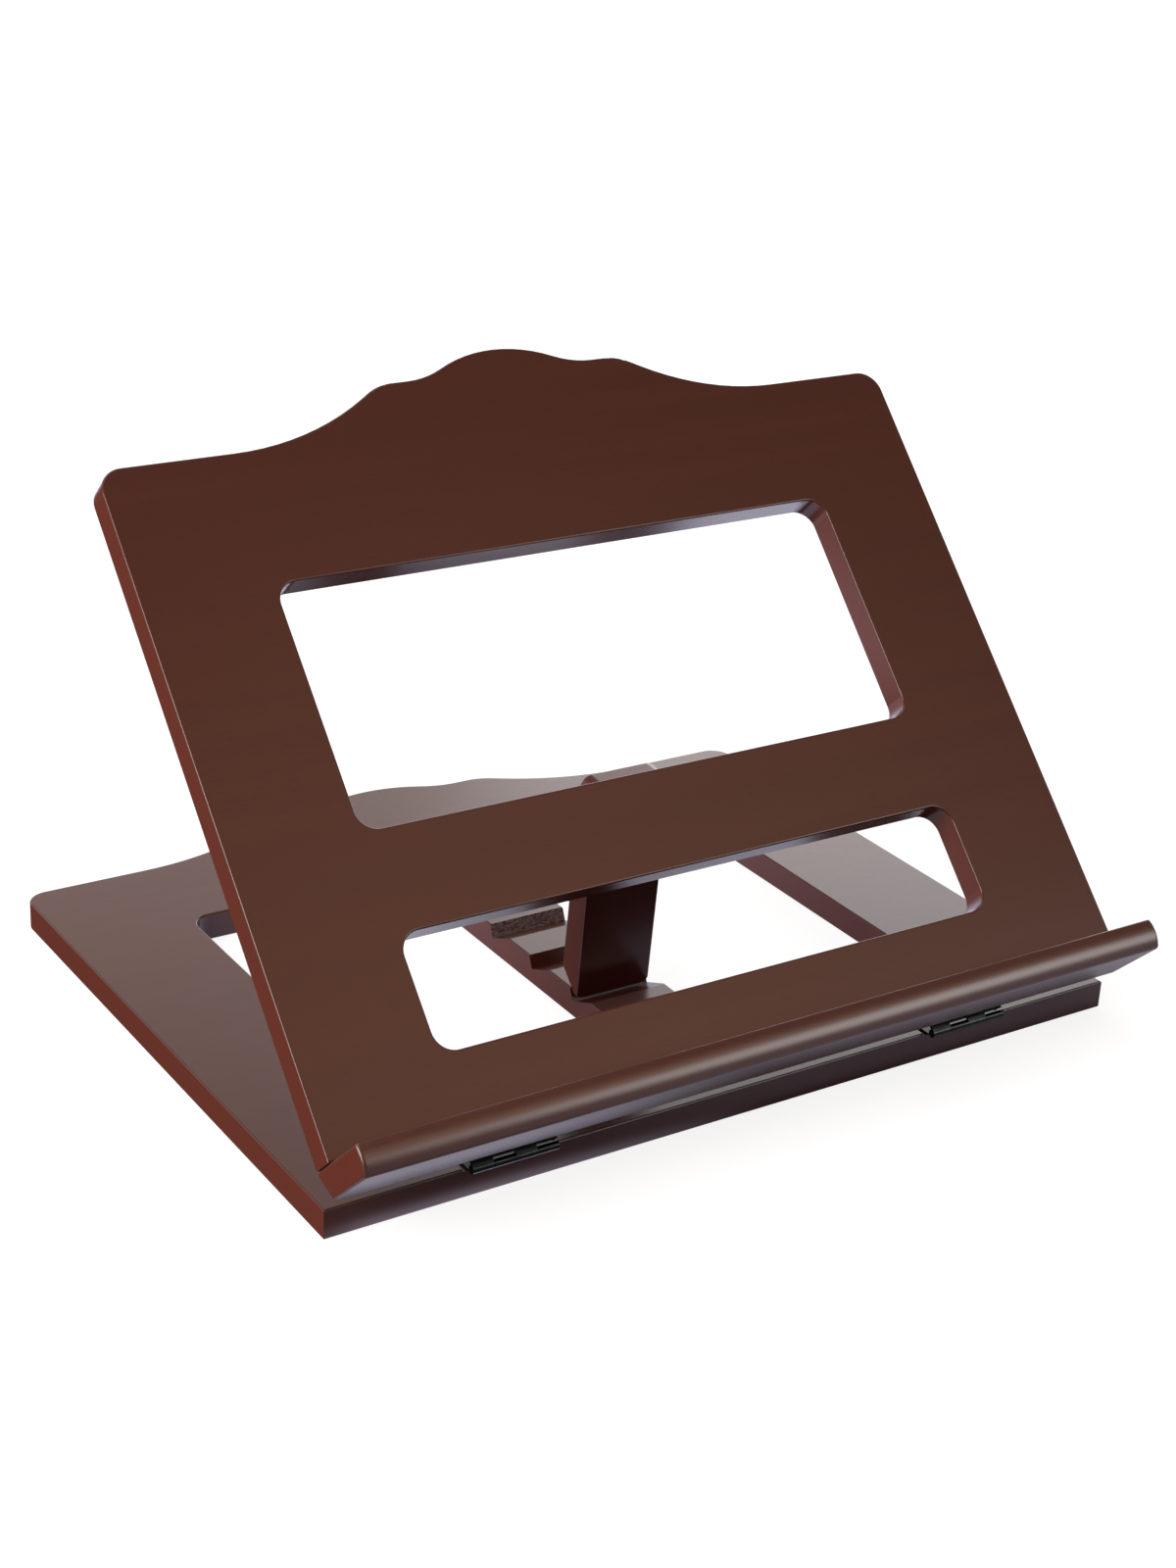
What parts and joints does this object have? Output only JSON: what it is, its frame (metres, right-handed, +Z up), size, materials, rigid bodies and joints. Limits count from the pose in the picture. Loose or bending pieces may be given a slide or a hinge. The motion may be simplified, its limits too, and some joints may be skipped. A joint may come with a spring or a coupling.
{
  "type": "book stand",
  "caption": "Folding wooden book stand: a windowed panel with a wavy crown and a ledge leans on a hinged strut that stands in slots of a matching base board.",
  "frame": {"origin": "under the middle of the base board, on the surface that the stand rests on", "axes": "+X to the reader's right along the hinges, +Y from the reader to the back, +Z up"},
  "size_m": [0.3, 0.2777, 0.2053],
  "materials": {
    "stained_wood": "dark reddish-brown stain under satin lacquer",
    "dowel_wood": "plain hardwood",
    "hinge_metal": "dark plated steel, rolled leaves",
    "pin_metal": "bright steel wire",
    "screw_metal": "dark plated steel"
  },
  "bodies": {
    "base": {"base_board": "stained_wood", "left_hinge_base_leaf": "hinge_metal", "left_hinge_pin": "pin_metal", "left_base_leaf_screws": "screw_metal", "right_hinge_base_leaf": "hinge_metal", "right_hinge_pin": "pin_metal", "right_base_leaf_screws": "screw_metal"},
    "panel": {"book_panel": "stained_wood", "book_ledge": "stained_wood", "ledge_dowels": "dowel_wood", "left_hinge_panel_leaf": "hinge_metal", "left_panel_leaf_screws": "screw_metal", "right_hinge_panel_leaf": "hinge_metal", "right_panel_leaf_screws": "screw_metal", "strut_hinge_rail_leaf": "hinge_metal", "strut_hinge_pin": "pin_metal", "strut_hinge_rail_screws": "screw_metal"},
    "strut": {"support_strut": "stained_wood", "strut_hinge_strut_leaf": "hinge_metal", "strut_hinge_strut_screws": "screw_metal"}
  },
  "joints": [
    {"name": "panel_tilt", "type": "hinge", "parent": "base", "child": "panel", "pos_m": [0, -0.11645, 0.0108], "axis": [1, 0, 0], "range_deg": [0, 67]},
    {"name": "strut_swing", "type": "hinge", "parent": "panel", "child": "strut", "pos_m": [0, -0.04323, 0.08662], "axis": [1, 0, 0], "range_deg": [0, 131.8]}
  ]
}
